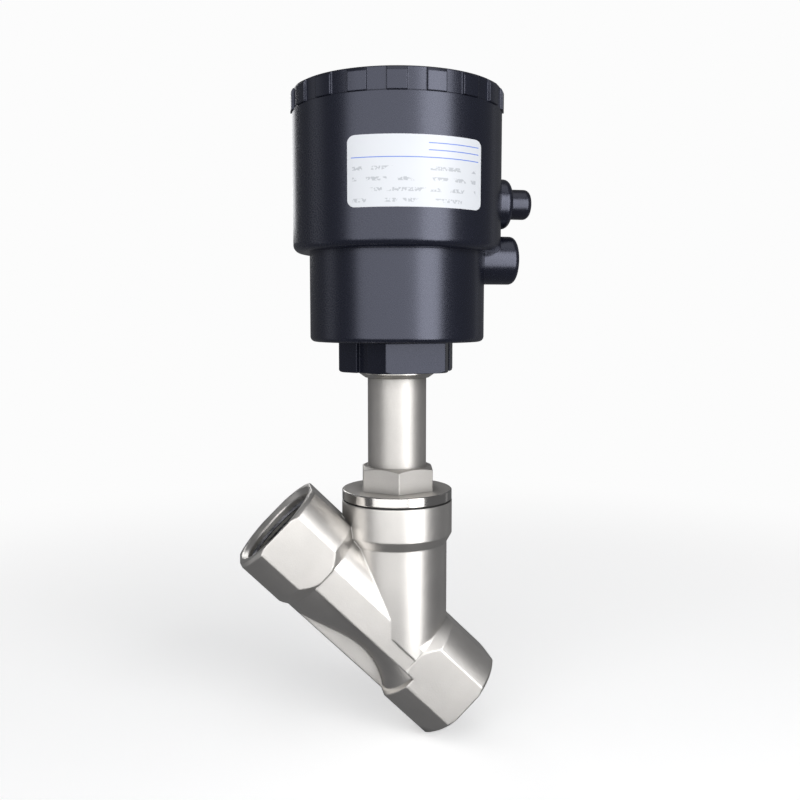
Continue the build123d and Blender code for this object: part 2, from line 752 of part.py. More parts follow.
def plug_disc():
    body = lathe(
        [
            (0, SEAL_TOP),
            (PLUG_R, SEAL_TOP),
            (PLUG_R, SEAL_TOP + PLUG_PLATE - 2),
            (PLUG_HUB_R + 2, SEAL_TOP + PLUG_PLATE),
            (PLUG_HUB_R, SEAL_TOP + PLUG_PLATE + 2),
            (PLUG_HUB_R, PLUG_TOP - 1),
            (PLUG_HUB_R - 1, PLUG_TOP),
            (0, PLUG_TOP),
        ]
    )
    body -= rod(STEM_R + NEST_GAP, STEM_LOW, PLUG_TOP + 1)
    body -= rod(DISC_SCREW_R + NEST_GAP, SEAL_TOP - 1, STEM_LOW + 1)
    return body - along_x(DISC_PIN_R + NEST_GAP, -PLUG_R, PLUG_R, DISC_PIN_HEIGHT)


def disc_seal():
    return ring(DISC_SEAL_R, DISC_SCREW_R + NEST_GAP, SEAT_FACE, SEAL_TOP)


def disc_washer():
    return ring(DISC_WASHER_R, DISC_SCREW_R + NEST_GAP, DISC_WASHER_LOW, SEAT_FACE)


def disc_screw():
    head = hexagon(10, DISC_WASHER_LOW - 3.5, DISC_WASHER_LOW, 0)
    return head + rod(DISC_SCREW_R, DISC_WASHER_LOW - 1, STEM_LOW - 0.5)


def piston():
    inner = CUP_R - CUP_WALL
    body = rod(PISTON_R, PISTON_LOW, PISTON_HIGH)
    body += rod(CUP_R, CUP_LOW, PISTON_LOW + 1)
    body = round_edge(body, CUP_R, CUP_LOW, 2.0)
    body -= rod(inner, CUP_FLOOR_TOP, PISTON_HIGH + 1)
    body += rod(HUB_R, STEM_SHOULDER, HUB_TOP)
    body -= rod(STEM_NECK_R + NEST_GAP, STEM_SHOULDER - 1, HUB_TOP + 1)
    body -= ring_groove(SEAL_HEIGHT, SEAL_WIDTH)
    body -= ring_groove(GUIDE_RING_HEIGHT, GUIDE_RING_WIDTH)
    return body


def ring_groove(height, width):
    return ring(PISTON_R + 2, PISTON_R - RING_DEPTH, height - width / 2, height + width / 2)


def piston_band(height, width):
    half = width / 2 - NEST_GAP
    inner = PISTON_R - RING_DEPTH + NEST_GAP
    return ring(UPPER_BORE_R - RUN_FIT, inner, height - half, height + half)


def piston_washer():
    return ring(HUB_R - 0.5, STEM_NECK_R + NEST_GAP, HUB_TOP, PISTON_WASHER_TOP)


def piston_nut():
    body = hexagon(PISTON_NUT_FLATS, PISTON_WASHER_TOP, PISTON_NUT_TOP, 0)
    return body - rod(STEM_NECK_R + NEST_GAP, PISTON_WASHER_TOP - 1, PISTON_NUT_TOP + 1)


def position_indicator():
    body = rod(INDICATOR_R, STEM_TOP, INDICATOR_TOP)
    body += rod(INDICATOR_R + 1.5, PISTON_NUT_TOP, STEM_TOP + 4)
    body -= rod(STEM_NECK_R + NEST_GAP, PISTON_NUT_TOP - 1, STEM_TOP)
    return round_edge(body, INDICATOR_R, INDICATOR_TOP, 1.5)


# ---------------------------------------------------------------- all parts
def fixed_parts():
    save("body_casting", body_casting())
    save("bonnet", bonnet())
    save("bonnet_gasket", bonnet_gasket())
    save("guide_bush", ring(PACKING_OUTER_R, PACKING_INNER_R, BONNET_BORE_LOW, PACKING_LOW))
    save("packing_bottom_ring", packing_end_ring(PACKING_LOW, PACKING_V_LOW, 0, 1))
    for index in range(PACKING_RING_COUNT):
        save(f"packing_ring_{index + 1}", packing_ring(PACKING_V_LOW + index * PACKING_RING_PITCH))
    save("packing_top_ring", packing_end_ring(PACKING_V_HIGH, PACKING_HIGH, 1, 0))
    for index in range(DISC_SPRING_COUNT):
        save(f"disc_spring_{index + 1}", disc_spring(index))
    save("spacer_tube", ring(PACKING_OUTER_R, STEM_R + 1.2, SPACER_LOW, UPPER_BUSH_LOW))
    save("upper_guide_bush", ring(PACKING_OUTER_R, PACKING_INNER_R, UPPER_BUSH_LOW, UPPER_BUSH_HIGH))
    save("rod_seal", ring(PACKING_OUTER_R, PACKING_INNER_R, UPPER_BUSH_HIGH, ROD_SEAL_HIGH))
    save("gland_screw", gland_screw())
    save("support_washer", support_washer())
    save("actuator_nut", actuator_nut())
    save("retaining_ring", retaining_ring())


def actuator_parts():
    save("cylinder_housing", cylinder_housing())
    save("swivel_oring", swivel_oring())
    save("top_cap", top_cap())
    save("cap_oring", cap_oring())
    save("indicator_lens", indicator_lens())
    save("name_label", name_label())
    save("vent_plug", vent_plug())
    low = CUP_FLOOR_TOP + OUTER_WIRE_R
    high = CAP_UNDER - OUTER_WIRE_R
    save("outer_spring", coil(OUTER_SPRING_R, OUTER_WIRE_R, OUTER_TURNS, low, high))
    low = CUP_FLOOR_TOP + INNER_WIRE_R
    high = CAP_UNDER - INNER_WIRE_R
    save("inner_spring", coil(INNER_SPRING_R, INNER_WIRE_R, INNER_TURNS, low, high))


def moving_parts():
    save("stem", stem())
    save("plug_disc", plug_disc())
    save("disc_seal", disc_seal())
    save("disc_washer", disc_washer())
    save("disc_screw", disc_screw())
    save("disc_pin", pin_hole(0))
    save("piston", piston())
    save("piston_seal", piston_band(SEAL_HEIGHT, SEAL_WIDTH))
    save("piston_guide_ring", piston_band(GUIDE_RING_HEIGHT, GUIDE_RING_WIDTH))
    save("piston_washer", piston_washer())
    save("piston_nut", piston_nut())
    save("position_indicator", position_indicator())


fixed_parts()
actuator_parts()
moving_parts()
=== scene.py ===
import math

import bpy
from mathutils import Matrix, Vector


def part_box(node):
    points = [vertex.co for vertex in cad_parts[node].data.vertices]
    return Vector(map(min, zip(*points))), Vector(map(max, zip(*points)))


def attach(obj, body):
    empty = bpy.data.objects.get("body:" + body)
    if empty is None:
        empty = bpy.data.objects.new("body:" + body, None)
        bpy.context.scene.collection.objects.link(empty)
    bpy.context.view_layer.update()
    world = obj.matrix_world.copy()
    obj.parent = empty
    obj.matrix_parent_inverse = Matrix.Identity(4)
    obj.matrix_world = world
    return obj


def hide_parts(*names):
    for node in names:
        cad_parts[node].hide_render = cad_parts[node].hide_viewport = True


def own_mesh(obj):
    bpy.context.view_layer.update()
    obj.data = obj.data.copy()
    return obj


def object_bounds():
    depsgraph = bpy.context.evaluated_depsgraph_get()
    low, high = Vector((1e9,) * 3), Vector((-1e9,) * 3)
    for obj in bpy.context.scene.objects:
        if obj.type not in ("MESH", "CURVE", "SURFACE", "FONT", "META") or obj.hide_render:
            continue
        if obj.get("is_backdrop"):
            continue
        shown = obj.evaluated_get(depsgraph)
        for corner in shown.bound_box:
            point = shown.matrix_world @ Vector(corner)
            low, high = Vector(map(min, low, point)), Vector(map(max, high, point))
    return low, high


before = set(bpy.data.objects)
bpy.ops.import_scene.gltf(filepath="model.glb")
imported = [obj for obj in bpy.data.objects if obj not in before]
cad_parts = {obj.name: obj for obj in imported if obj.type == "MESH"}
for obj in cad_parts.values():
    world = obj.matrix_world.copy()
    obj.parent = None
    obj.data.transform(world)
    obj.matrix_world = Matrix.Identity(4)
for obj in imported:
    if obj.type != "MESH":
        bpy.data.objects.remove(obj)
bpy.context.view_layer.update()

bl_info = {
    "name": "Angle Seat Valve",
    "version": (1, 0, 0),
    "blender": (4, 5, 0),
    "location": "View3D > Sidebar > Valve",
    "description": "Dresses a pneumatic angle seat valve: threads, springs, finishes and a studio",
    "category": "Object",
}

MM = 0.001
FLOW_TURN = math.radians(135)  # turns Z onto the flow axis

# Threaded walls: from and to along the flow axis, and for the air port along X.
INLET_SPAN = (-66.4 * MM, -53.3 * MM)
OUTLET_SPAN = (19.8 * MM, 32.9 * MM)
AIR_SPAN = (38.5 * MM, 46.2 * MM)
AIR_HEIGHT = 149.8 * MM

# Where a tool has cut through the cast skin.
PORT_MIDDLE = -16.75 * MM  # halfway between the two port faces
PORT_BORE = 28.4 * MM  # from the middle to the inner end of either bore
PORT_FACE = 51.1 * MM  # from the middle to just under either face
MOUTH_RADIUS = 18.45 * MM
FLANGE_RIM_RADIUS = 21.25 * MM
FLANGE_RIM_TOP = 60.5 * MM

# The label: margins, height and pitch of its rows of marks, and its rules (drop, start).
LABEL_MARGIN = 1.2 * MM
LABEL_FOOT = 1.6 * MM
LABEL_HEAD = 8.8 * MM
MARK_HEIGHT = 1.3 * MM
MARK_PITCH = 3.6 * MM
RULE_HALF = 0.16 * MM
HEAD_RULE = 7.6 * MM
SHORT_RULES = (2.7 * MM, 5.1 * MM)
SHORT_RULE_START = 4.0 * MM


# ---------------------------------------------------------------- sizes and colours
class ThreadSettings(bpy.types.PropertyGroup):
    pipe_radius: bpy.props.FloatProperty(
        name="Pipe thread radius",
        description="Radius of the wall that the pipe thread stands on",
        default=0.01665,
        subtype="DISTANCE",
    )
    pipe_pitch: bpy.props.FloatProperty(
        name="Pipe thread pitch",
        description="Distance between two crests of the G1 thread",
        default=0.002309,
        subtype="DISTANCE",
    )
    pipe_depth: bpy.props.FloatProperty(
        name="Pipe thread depth",
        description="How far the crests stand in from the wall",
        default=0.00115,
        subtype="DISTANCE",
    )
    air_radius: bpy.props.FloatProperty(
        name="Air thread radius",
        description="Radius of the wall that the air thread stands on",
        default=0.0043,
        subtype="DISTANCE",
    )
    air_pitch: bpy.props.FloatProperty(
        name="Air thread pitch",
        description="Distance between two crests of the G1/8 thread",
        default=0.000907,
        subtype="DISTANCE",
    )
    air_depth: bpy.props.FloatProperty(
        name="Air thread depth",
        description="How far the air thread's crests stand in from the wall",
        default=0.00035,
        subtype="DISTANCE",
    )


class SpringSettings(bpy.types.PropertyGroup):
    outer_turns: bpy.props.IntProperty(
        name="Outer turns",
        description="Working turns of the outer spring",
        default=6,
    )
    inner_turns: bpy.props.IntProperty(
        name="Inner turns",
        description="Working turns of the inner spring",
        default=8,
    )
    outer_wire: bpy.props.FloatProperty(
        name="Outer wire",
        description="Wire radius of the outer spring",
        default=0.002,
        subtype="DISTANCE",
    )
    inner_wire: bpy.props.FloatProperty(
        name="Inner wire",
        description="Wire radius of the inner spring",
        default=0.0015,
        subtype="DISTANCE",
    )


class FinishSettings(bpy.types.PropertyGroup):
    casting: bpy.props.StringProperty(
        name="Casting",
        description="Colour of the blasted stainless casting",
        default="E2DFDB",
    )
    machined: bpy.props.StringProperty(
        name="Machined steel",
        description="Colour of the machined stainless faces",
        default="DAD7D2",
    )
    nylon: bpy.props.StringProperty(
        name="Actuator nylon",
        description="Colour of the glass filled nylon of the actuator",
        default="0D0F19",
    )
    label: bpy.props.StringProperty(
        name="Label",
        description="Colour of the label film",
        default="C6C9CE",
    )


class StageSettings(bpy.types.PropertyGroup):
    floor_size: bpy.props.FloatProperty(
        name="Floor size",
        description="Length of one side of the floor",
        default=6.0,
        subtype="DISTANCE",
    )
    air: bpy.props.FloatProperty(
        name="Room light",
        description="Brightness of the room round the valve",
        default=0.15,
    )
    paper: bpy.props.FloatProperty(
        name="Paper glow",
        description="How much light the paper under the valve gives by itself",
        default=0.42,
    )
    lens: bpy.props.FloatProperty(
        name="Lens",
        description="Focal length on a 36 mm sensor, in millimetres",
        default=39.6,
    )
    shift: bpy.props.FloatProperty(
        name="Lens shift",
        description="Sideways shift of the lens, as a share of the picture's width",
        default=0.00375,
    )
    distance: bpy.props.FloatProperty(
        name="Camera distance",
        description="Distance of the camera from the stem axis",
        default=0.345,
        subtype="DISTANCE",
    )
    height: bpy.props.FloatProperty(
        name="Camera height",
        description="Height of the camera above the origin",
        default=0.128,
        subtype="DISTANCE",
    )
    azimuth: bpy.props.FloatProperty(
        name="Camera azimuth",
        description="Where the camera stands round the stem, from the front",
        default=math.radians(-10),
        subtype="ANGLE",
    )
    pitch: bpy.props.FloatProperty(
        name="Camera pitch",
        description="How far the camera looks down",
        default=math.radians(5.45),
        subtype="ANGLE",
    )


# ---------------------------------------------------------------- making pieces
def start_piece():
    if bpy.context.object and bpy.context.object.mode != "OBJECT":
        bpy.ops.object.mode_set(mode="OBJECT")
    bpy.ops.object.select_all(action="DESELECT")


def finish_piece(name, body, material, angle=40):
    piece = bpy.context.object
    piece.name = name
    piece.data.name = name
    bpy.ops.object.transform_apply(location=True, rotation=True, scale=True)
    bpy.ops.object.mode_set(mode="EDIT")
    bpy.ops.mesh.select_all(action="SELECT")
    bpy.ops.mesh.remove_doubles(threshold=0.000001)
    bpy.ops.mesh.normals_make_consistent(inside=False)
    bpy.ops.object.mode_set(mode="OBJECT")
    bpy.ops.object.shade_smooth_by_angle(angle=math.radians(angle))
    piece.data.materials.clear()
    piece.data.materials.append(material)
    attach(piece, body)
    return piece


def wound(corners, size, mean, pitch, turns, low, steps):
    """Winds a profile round Z, its first corner to the axis, and closes the two ends."""
    start_piece()
    bpy.ops.mesh.primitive_circle_add(
        vertices=corners,
        radius=size,
        location=(mean, 0, low),
        rotation=(math.radians(90), math.radians(-90), 0),
    )
    piece = bpy.context.object
    bpy.ops.object.transform_apply(location=True, rotation=True, scale=True)
    screw = piece.modifiers.new("wind", "SCREW")
    screw.axis = "Z"
    screw.angle = math.radians(360)
    screw.screw_offset = pitch
    screw.iterations = turns
    screw.steps = steps
    screw.render_steps = steps
    bpy.ops.object.modifier_apply(modifier="wind")
    bpy.ops.object.mode_set(mode="EDIT")
    bpy.ops.mesh.select_mode(type="VERT")
    bpy.ops.mesh.select_all(action="DESELECT")
    bpy.ops.mesh.select_non_manifold()
    bpy.ops.mesh.fill_holes(sides=0)
    bpy.ops.object.mode_set(mode="OBJECT")
    return piece


def thread_ridge(radius, pitch, depth, low, high):
    """A three sided ridge inside a threaded wall, with its crest to the axis."""
    turns = max(1, int((high - low) / pitch) - 1)
    return wound(3, depth, radius, pitch, turns, low + pitch, 48)


# ---------------------------------------------------------------- materials
def linear(code):
    values = []
    for index in (0, 2, 4):
        part = int(code[index : index + 2], 16) / 255
        values.append(part / 12.92 if part <= 0.04045 else ((part + 0.055) / 1.055) ** 2.4)
    return (*values, 1.0)


def shade(colour, amount):
    return (colour[0] * amount, colour[1] * amount, colour[2] * amount, 1.0)


def node(tree, kind, settings=None, links=None, out=0):
    """Adds one node with its settings and links, and gives back one of its outputs."""
    made = tree.nodes.new(kind)
    for key, value in (settings or {}).items():
        if isinstance(key, int) or key in made.inputs:
            made.inputs[key].default_value = value
        else:
            setattr(made, key, value)
    for key, source in (links or {}).items():
        tree.links.new(source, made.inputs[key])
    return made.outputs[out]


def new_material(name):
    made = bpy.data.materials.new(name)
    made.use_nodes = True
    tree = made.node_tree
    place = node(tree, "ShaderNodeTexCoord", out="Object")
    return made, tree, tree.nodes["Principled BSDF"], place


def port_cuts(tree, place):
    """1 on the turned port rims and inside the threaded walls, 0 on the cast skin."""
    turned = node(
        tree,
        "ShaderNodeVectorRotate",
        {"rotation_type": "Y_AXIS", "Angle": -FLOW_TURN},
        {"Vector": place},
    )
    flat = node(
        tree,
        "ShaderNodeVectorMath",
        {"operation": "MULTIPLY", 1: (1, 1, 0)},
        {0: turned},
    )
    radius = node(tree, "ShaderNodeVectorMath", {"operation": "LENGTH"}, {0: flat}, "Value")
    along = node(tree, "ShaderNodeSeparateXYZ", {}, {0: turned}, "Z")
    shifted = node(tree, "ShaderNodeMath", {"operation": "SUBTRACT", 1: PORT_MIDDLE}, {0: along})
    far = node(tree, "ShaderNodeMath", {"operation": "ABSOLUTE"}, {0: shifted})
    inner = node(tree, "ShaderNodeMath", {"operation": "LESS_THAN", 1: MOUTH_RADIUS}, {0: radius})
    deep = node(tree, "ShaderNodeMath", {"operation": "GREATER_THAN", 1: PORT_BORE}, {0: far})
    bore = node(tree, "ShaderNodeMath", {"operation": "MULTIPLY"}, {0: inner, 1: deep})
    face = node(tree, "ShaderNodeMath", {"operation": "GREATER_THAN", 1: PORT_FACE}, {0: far})
    return node(tree, "ShaderNodeMath", {"operation": "MAXIMUM"}, {0: bore, 1: face})


def flange_cut(tree, place):
    """1 on the turned rim of the bonnet's flange, 0 elsewhere."""
    flat = node(
        tree,
        "ShaderNodeVectorMath",
        {"operation": "MULTIPLY", 1: (1, 1, 0)},
        {0: place},
    )
    radius = node(tree, "ShaderNodeVectorMath", {"operation": "LENGTH"}, {0: flat}, "Value")
    height = node(tree, "ShaderNodeSeparateXYZ", {}, {0: place}, "Z")
    outer = node(
        tree, "ShaderNodeMath", {"operation": "GREATER_THAN", 1: FLANGE_RIM_RADIUS}, {0: radius}
    )
    under = node(tree, "ShaderNodeMath", {"operation": "LESS_THAN", 1: FLANGE_RIM_TOP}, {0: height})
    return node(tree, "ShaderNodeMath", {"operation": "MULTIPLY"}, {0: outer, 1: under})


def blasted_casting(name, code, cuts, cut_rough, rough=0.40, edge=0.9):
    """Investment cast stainless, glass bead blasted. It gives the eye a soft light grey with a
    fine sandy grain, corners and hollows darkened by painted shade, edges that catch a thin bright
    line, and mirror bright bands where a tool has cut through the skin."""
    made, tree, shader, place = new_material(name)
    colour = linear(code)
    cloud = node(
        tree, "ShaderNodeTexNoise", {"Scale": 1000 / 14.0, "Detail": 2.0}, {"Vector": place}
    )
    sand = node(
        tree, "ShaderNodeTexNoise", {"Scale": 1000 / 0.55, "Detail": 4.0}, {"Vector": place}
    )
    mottled = node(tree, "ShaderNodeMapRange", {"From Min": 0.35, "From Max": 0.65}, {0: cloud})
    tone = node(
        tree,
        "ShaderNodeMix",
        {"data_type": "RGBA", 6: shade(colour, 0.93), 7: colour},
        {0: mottled},
        2,
    )
    # painted shade: an occlusion node darkens the colour in hollows and corners, down to half its
    # value
    corner = node(
        tree, "ShaderNodeAmbientOcclusion", {"Distance": 5.0 * MM, "samples": 8}, out="AO"
    )
    painted_hollow_shade = node(
        tree,
        "ShaderNodeMapRange",
        {"From Min": 0.3, "From Max": 0.95, "To Min": 0.5, "To Max": 1.0},
        {0: corner},
    )
    tone = node(tree, "ShaderNodeVectorMath", {"operation": "SCALE"}, {0: tone, "Scale": painted_hollow_shade})
    sheen = node(
        tree,
        "ShaderNodeMapRange",
        {"From Min": 0.3, "From Max": 0.7, "To Min": rough - 0.05, "To Max": rough + 0.07},
        {0: sand},
    )
    cut = cuts(tree, place)
    sheen = node(tree, "ShaderNodeMix", {"data_type": "FLOAT", 3: cut_rough}, {0: cut, 2: sheen})
    skin = node(tree, "ShaderNodeMath", {"operation": "SUBTRACT", 0: 1.0}, {1: cut})
    height = node(tree, "ShaderNodeMath", {"operation": "MULTIPLY"}, {0: sand, 1: skin})
    soft = node(tree, "ShaderNodeBevel", {"samples": 6, "Radius": edge * MM})
    relief = node(
        tree,
        "ShaderNodeBump",
        {"Distance": 0.05 * MM, "Strength": 0.5},
        {"Height": height, "Normal": soft},
    )
    tree.links.new(tone, shader.inputs["Base Color"])
    tree.links.new(sheen, shader.inputs["Roughness"])
    tree.links.new(relief, shader.inputs["Normal"])
    shader.inputs["Metallic"].default_value = 1.0
    return made


def turned_steel(name, code, rough=0.26):
    """Metal turned on a lathe. It gives the eye a bright face with fine rings round the axis
    that stretch the highlights sideways."""
    made, tree, shader, place = new_material(name)
    colour = linear(code)
    rings = node(
        tree,
        "ShaderNodeTexWave",
        {
            "wave_type": "BANDS",
            "bands_direction": "Z",
            "Scale": 1000 / 0.30 / 20,
            "Distortion": 0.6,
            "Detail": 2.0,
        },
        {"Vector": place},
        "Fac",
    )
    cloud = node(
        tree, "ShaderNodeTexNoise", {"Scale": 1000 / 9.0, "Detail": 2.0}, {"Vector": place}
    )
    tone = node(
        tree,
        "ShaderNodeMix",
        {"data_type": "RGBA", 6: shade(colour, 0.93), 7: colour},
        {0: cloud},
        2,
    )
    dull = node(
        tree, "ShaderNodeMapRange", {"To Min": rough - 0.04, "To Max": rough + 0.06}, {0: rings}
    )
    soft = node(tree, "ShaderNodeBevel", {"samples": 6, "Radius": 0.25 * MM})
    relief = node(
        tree,
        "ShaderNodeBump",
        {"Distance": 0.01 * MM, "Strength": 0.3},
        {"Height": rings, "Normal": soft},
    )
    tree.links.new(tone, shader.inputs["Base Color"])
    tree.links.new(dull, shader.inputs["Roughness"])
    tree.links.new(relief, shader.inputs["Normal"])
    shader.inputs["Metallic"].default_value = 1.0
    return made


def moulded_nylon(name, code, rough=0.27, edge=0.6, level=0.78):
    """Glass filled nylon, injection moulded. It gives the eye a near black navy with a satin
    highlight down the light side and a faint fibre texture."""
    made, tree, shader, place = new_material(name)
    colour = linear(code)
    cloud = node(
        tree, "ShaderNodeTexNoise", {"Scale": 1000 / 22.0, "Detail": 2.0}, {"Vector": place}
    )
    fibre = node(
        tree, "ShaderNodeTexNoise", {"Scale": 1000 / 0.45, "Detail": 5.0}, {"Vector": place}
    )
    mottled = node(tree, "ShaderNodeMapRange", {"From Min": 0.3, "From Max": 0.7}, {0: cloud})
    tone = node(
        tree,
        "ShaderNodeMix",
        {"data_type": "RGBA", 6: shade(colour, 0.86), 7: colour},
        {0: mottled},
        2,
    )
    sheen = node(
        tree,
        "ShaderNodeMapRange",
        {"From Min": 0.3, "From Max": 0.7, "To Min": rough - 0.03, "To Max": rough + 0.05},
        {0: fibre},
    )
    soft = node(tree, "ShaderNodeBevel", {"samples": 6, "Radius": edge * MM})
    relief = node(
        tree,
        "ShaderNodeBump",
        {"Distance": 0.02 * MM, "Strength": 0.1},
        {"Height": fibre, "Normal": soft},
    )
    tree.links.new(tone, shader.inputs["Base Color"])
    tree.links.new(sheen, shader.inputs["Roughness"])
    tree.links.new(relief, shader.inputs["Normal"])
    shader.inputs["IOR"].default_value = 1.53
    shader.inputs["Specular IOR Level"].default_value = level
    shader.inputs["Specular Tint"].default_value = linear("E4E8FF")
    return made


def moulded_rubber(name, code):
    """Nitrile rubber, moulded. It gives the eye a dull black ring with a soft grey bloom."""
    made, tree, shader, place = new_material(name)
    colour = linear(code)
    bloom = node(
        tree, "ShaderNodeTexNoise", {"Scale": 1000 / 3.0, "Detail": 3.0}, {"Vector": place}
    )
    tone = node(
        tree,
        "ShaderNodeMix",
        {"data_type": "RGBA", 6: colour, 7: shade(colour, 1.8)},
        {0: bloom},
        2,
    )
    dull = node(
        tree,
        "ShaderNodeMapRange",
        {"From Min": 0.3, "From Max": 0.7, "To Min": 0.62, "To Max": 0.78},
        {0: bloom},
    )
    tree.links.new(tone, shader.inputs["Base Color"])
    tree.links.new(dull, shader.inputs["Roughness"])
    return made


def skived_ptfe(name, code):
    """PTFE turned from bar. It gives the eye a waxy white, seen only with the valve apart."""
    made, tree, shader, place = new_material(name)
    colour = linear(code)
    haze = node(
        tree, "ShaderNodeTexNoise", {"Scale": 1000 / 4.0, "Detail": 2.0}, {"Vector": place}
    )
    tone = node(
        tree,
        "ShaderNodeMix",
        {"data_type": "RGBA", 6: shade(colour, 0.92), 7: colour},
        {0: haze},
        2,
    )
    dull = node(
        tree,
        "ShaderNodeMapRange",
        {"From Min": 0.3, "From Max": 0.7, "To Min": 0.34, "To Max": 0.46},
        {0: haze},
    )
    tree.links.new(tone, shader.inputs["Base Color"])
    tree.links.new(dull, shader.inputs["Roughness"])
    shader.inputs["IOR"].default_value = 1.38
    return made


def printed_film(name, code):
    """Polyester label film, printed. It gives the eye a clean white plate with a blue rule under
    its head and rows of small grey marks that stand for print and say nothing."""
    made, tree, shader, place = new_material(name)
    low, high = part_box("name_label")
    across = node(tree, "ShaderNodeSeparateXYZ", {}, {0: place}, "X")
    height = node(tree, "ShaderNodeSeparateXYZ", {}, {0: place}, "Z")
    # one rule under the head and two short ones on the right of it
    rules = [(HEAD_RULE, low.x + LABEL_MARGIN)]
    rules += [(drop, SHORT_RULE_START) for drop in SHORT_RULES]
    ink = None
    for drop, start in rules:
        line = node(
            tree,
            "ShaderNodeMath",
            {"operation": "COMPARE", 1: high.z - drop, 2: RULE_HALF},
            {0: height},
        )
        for operation, limit in (("GREATER_THAN", start), ("LESS_THAN", high.x - LABEL_MARGIN)):
            part = node(tree, "ShaderNodeMath", {"operation": operation, 1: limit}, {0: across})
            line = node(tree, "ShaderNodeMath", {"operation": "MULTIPLY"}, {0: line, 1: part})
        if ink is None:
            ink = line
        else:
            ink = node(tree, "ShaderNodeMath", {"operation": "MAXIMUM"}, {0: ink, 1: line})
    # four rows of marks, broken by a coarse noise into words and by a fine one into strokes
    foot = low.z + LABEL_FOOT
    lifted = node(tree, "ShaderNodeMath", {"operation": "SUBTRACT", 1: foot}, {0: height})
    rows = node(tree, "ShaderNodeMath", {"operation": "MODULO", 1: MARK_PITCH}, {0: lifted})
    marks = node(tree, "ShaderNodeMath", {"operation": "LESS_THAN", 1: MARK_HEIGHT}, {0: rows})
    for operation, limit, source in (
        ("GREATER_THAN", foot, height),
        ("LESS_THAN", high.z - LABEL_HEAD, height),
        ("GREATER_THAN", low.x + LABEL_FOOT, across),
        ("LESS_THAN", high.x - 2 * LABEL_MARGIN, across),
    ):
        part = node(tree, "ShaderNodeMath", {"operation": operation, 1: limit}, {0: source})
        marks = node(tree, "ShaderNodeMath", {"operation": "MULTIPLY"}, {0: marks, 1: part})
    for scale, cut in ((150, 0.5), (1300, 0.48)):
        broken = node(
            tree, "ShaderNodeTexNoise", {"Scale": scale, "Detail": 1.0}, {"Vector": place}
        )
        part = node(tree, "ShaderNodeMath", {"operation": "GREATER_THAN", 1: cut}, {0: broken})
        marks = node(tree, "ShaderNodeMath", {"operation": "MULTIPLY"}, {0: marks, 1: part})
    faint = node(tree, "ShaderNodeMath", {"operation": "MULTIPLY", 1: 0.45}, {0: marks})
    tone = node(
        tree,
        "ShaderNodeMix",
        {"data_type": "RGBA", 6: linear(code), 7: linear("6F747D")},
        {0: faint},
        2,
    )
    tone = node(
        tree,
        "ShaderNodeMix",
        {"data_type": "RGBA", 7: linear("5A78C8")},
        {0: ink, 6: tone},
        2,
    )
    peel = node(
        tree, "ShaderNodeTexNoise", {"Scale": 1000 / 1.2, "Detail": 2.0}, {"Vector": place}
    )
    dull = node(
        tree,
        "ShaderNodeMapRange",
        {"From Min": 0.3, "From Max": 0.7, "To Min": 0.30, "To Max": 0.40},
        {0: peel},
    )
    relief = node(
        tree, "ShaderNodeBump", {"Distance": 0.01 * MM, "Strength": 0.2}, {"Height": peel}
    )
    tree.links.new(tone, shader.inputs["Base Color"])
    tree.links.new(dull, shader.inputs["Roughness"])
    tree.links.new(relief, shader.inputs["Normal"])
    return made


def clear_moulding(name):
    """Polycarbonate from a polished mould. It gives the eye a clear dome with a thin gloss."""
    made, tree, shader, place = new_material(name)
    haze = node(
        tree, "ShaderNodeTexNoise", {"Scale": 1000 / 5.0, "Detail": 1.0}, {"Vector": place}
    )
    gloss = node(
        tree,
        "ShaderNodeMapRange",
        {"From Min": 0.3, "From Max": 0.7, "To Min": 0.04, "To Max": 0.08},
        {0: haze},
    )
    tree.links.new(gloss, shader.inputs["Roughness"])
    shader.inputs["Base Color"].default_value = linear("F1F4F5")
    shader.inputs["Transmission Weight"].default_value = 1.0
    shader.inputs["IOR"].default_value = 1.58
    return made


# ---------------------------------------------------------------- operators
def material(name):
    if name not in bpy.data.materials:
        raise RuntimeError(f"make the finishes first: there is no {name}")
    return bpy.data.materials[name]


def dress(names, made):
    for name in names:
        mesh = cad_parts[name].data
        mesh.materials.clear()
        mesh.materials.append(made)


